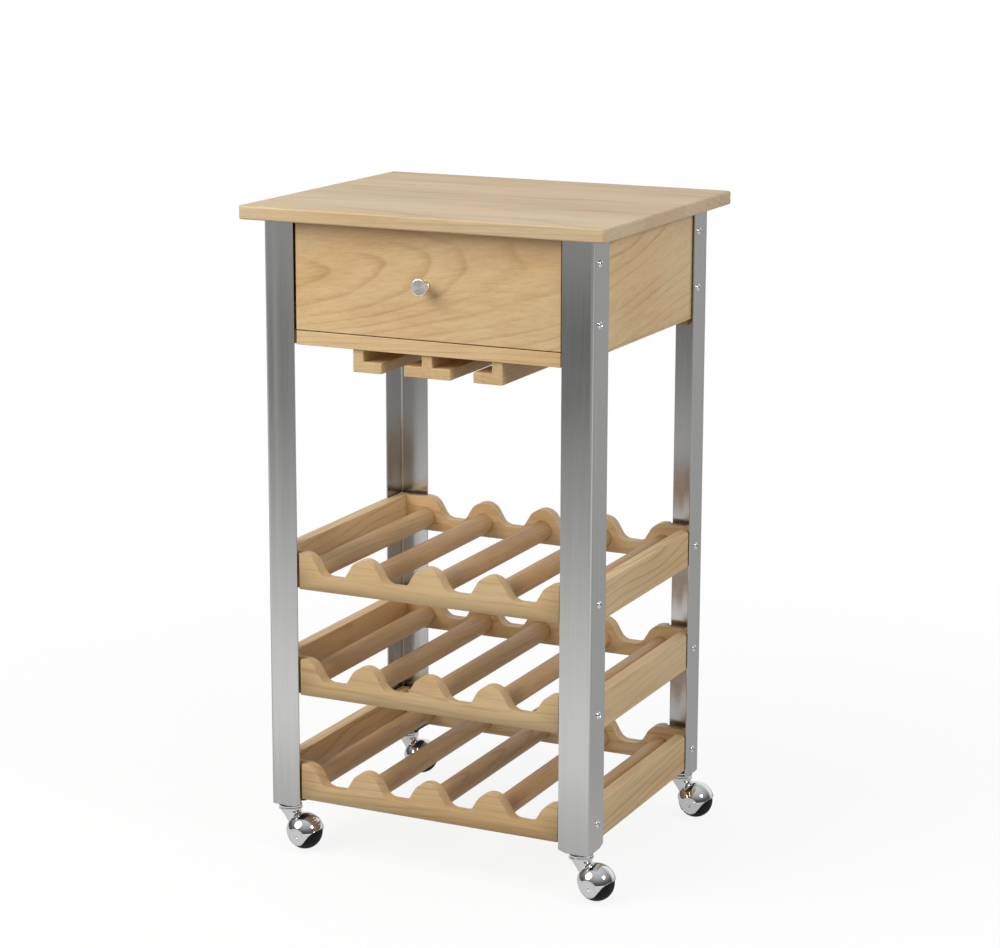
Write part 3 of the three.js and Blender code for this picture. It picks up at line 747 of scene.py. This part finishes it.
def caster_wheel(corner, material):
    """Ball cut flat beside the ears, with a bore right through for the axle."""
    node = f"caster_wheel_{corner}"
    flat = FACE - SHEET - PLAY
    bm = bmesh.new()
    profile = [(BORE, -flat), *ear_arc(BALL, flat, 48), (BORE, flat), (BORE, -flat)]
    lathe(bm, profile, 96, caster_place(corner) @ AXLE)
    bmesh.ops.remove_doubles(bm, verts=bm.verts, dist=1e-7)
    stand_for(finish_mesh(node + "_finish", bm, material), node)


# ---- assembly -----------------------------------------------------------------------------

make_camera()
make_stage()

TAN, TAN_DARK = linear(225, 196, 149), linear(178, 136, 84)
PALE, PALE_DARK = linear(214, 191, 152), linear(176, 146, 104)
CARCASS_MIDDLE = 0.78  # height where the figure of the large panels is centred

steel = brushed_steel("leg_steel", 0.58, 0.19)
plated = chrome("caster_chrome")
screw_metal = chrome("screw_chrome")
knob_metal = brushed_steel("knob_steel", 0.90, 0.28, (700, 60, 700), "Y", 2.0)
black = moulded("socket_black", (0.02, 0.02, 0.02, 1), 0.5)
rubber = moulded("wheel_black", (0.010, 0.010, 0.010, 1), 0.55, 1800, 0.16)

eased("tabletop", wood("top_wood", "X", PALE, PALE_DARK, 3, stave=0.07, pith=(0.03, -0.07), figure=0.5),
      0.0006)
eased("drawer_front", wood("drawer_wood", "X", TAN, TAN_DARK, 5, (0, -0.18, CARCASS_MIDDLE),
                           (0.07, -0.02), 0.014, (0.1, 0.13, 0.16), 0.42, 0.03))
eased("front_bottom_rail", wood("rail_wood", "X", TAN, TAN_DARK, 7))
eased("back_panel", wood("back_wood", "X", TAN, TAN_DARK, 8, (0, 0.18, CARCASS_MIDDLE),
                         (0.08, -0.05), 0.014, (0.0, 0.07, 0.12), 0.5, 0.03))
eased("bottom_panel", wood("panel_wood", "X", TAN, TAN_DARK, 9, figure=0.4), 0.0004)
for side, sx in (("left", -1), ("right", 1)):
    eased(f"carcass_side_{side}", wood(f"side_wood_{side}", "Y", TAN, TAN_DARK, 11 + sx,
                                       (sx * 0.22, 0, CARCASS_MIDDLE), (0.06, -0.10), 0.014,
                                       (0.0, 0.10, 0.14), 0.5, 0.02))
inner_x = wood("box_wood_x", "X", TAN, TAN_DARK, 15, figure=0.35)
inner_y = wood("box_wood_y", "Y", TAN, TAN_DARK, 16, figure=0.35)
for node in ("drawer_back", "drawer_bottom"):
    eased(node, inner_x, 0.0005)
for node in ("drawer_side_left", "drawer_side_right", "drawer_runner_left", "drawer_runner_right"):
    eased(node, inner_y, 0.0005)
stem_wood = wood("stem_rail_wood", "Y", TAN, TAN_DARK, 18, ring=0.006, pith=(0.02, -0.04))
for kind in ("left", "middle", "right"):
    eased(f"stemware_rail_{kind}", stem_wood, 0.0010)

rack_x = wood("rack_wood_x", "X", TAN, TAN_DARK, 21, pith=(0.10, -0.30), tilt=(0, 0.02, 0.03), wander=0.02)
rack_y = wood("rack_wood_y", "Y", TAN, TAN_DARK, 22, pith=(0.12, -0.26), tilt=(0, 0.03, 0.02), wander=0.02)
dowel_wood = wood("dowel_wood", "Y", linear(205, 171, 124), linear(156, 116, 72), 24, ring=0.006,
                  pith=(0.06, -0.2), figure=0.4)
for level in LEVELS:
    for end in ("front", "back"):
        wavy_rail(level, end, rack_x)
    for side in ("left", "right"):
        eased(f"{level}_rack_{side}_rail", rack_y, 0.0010)
    for i in range(BOTTLES + 1):
        dowel(f"{level}_rack_dowel_{i + 1}", dowel_wood)

knob(knob_metal)
for corner in CORNERS:
    eased(f"leg_{corner}", steel, 0.0003, 2)
    eased(f"stem_socket_{corner}", black, 0.0008)
    leg_screws(corner, screw_metal)
    caster_hood(corner, plated)
    caster_wheel(corner, rubber)
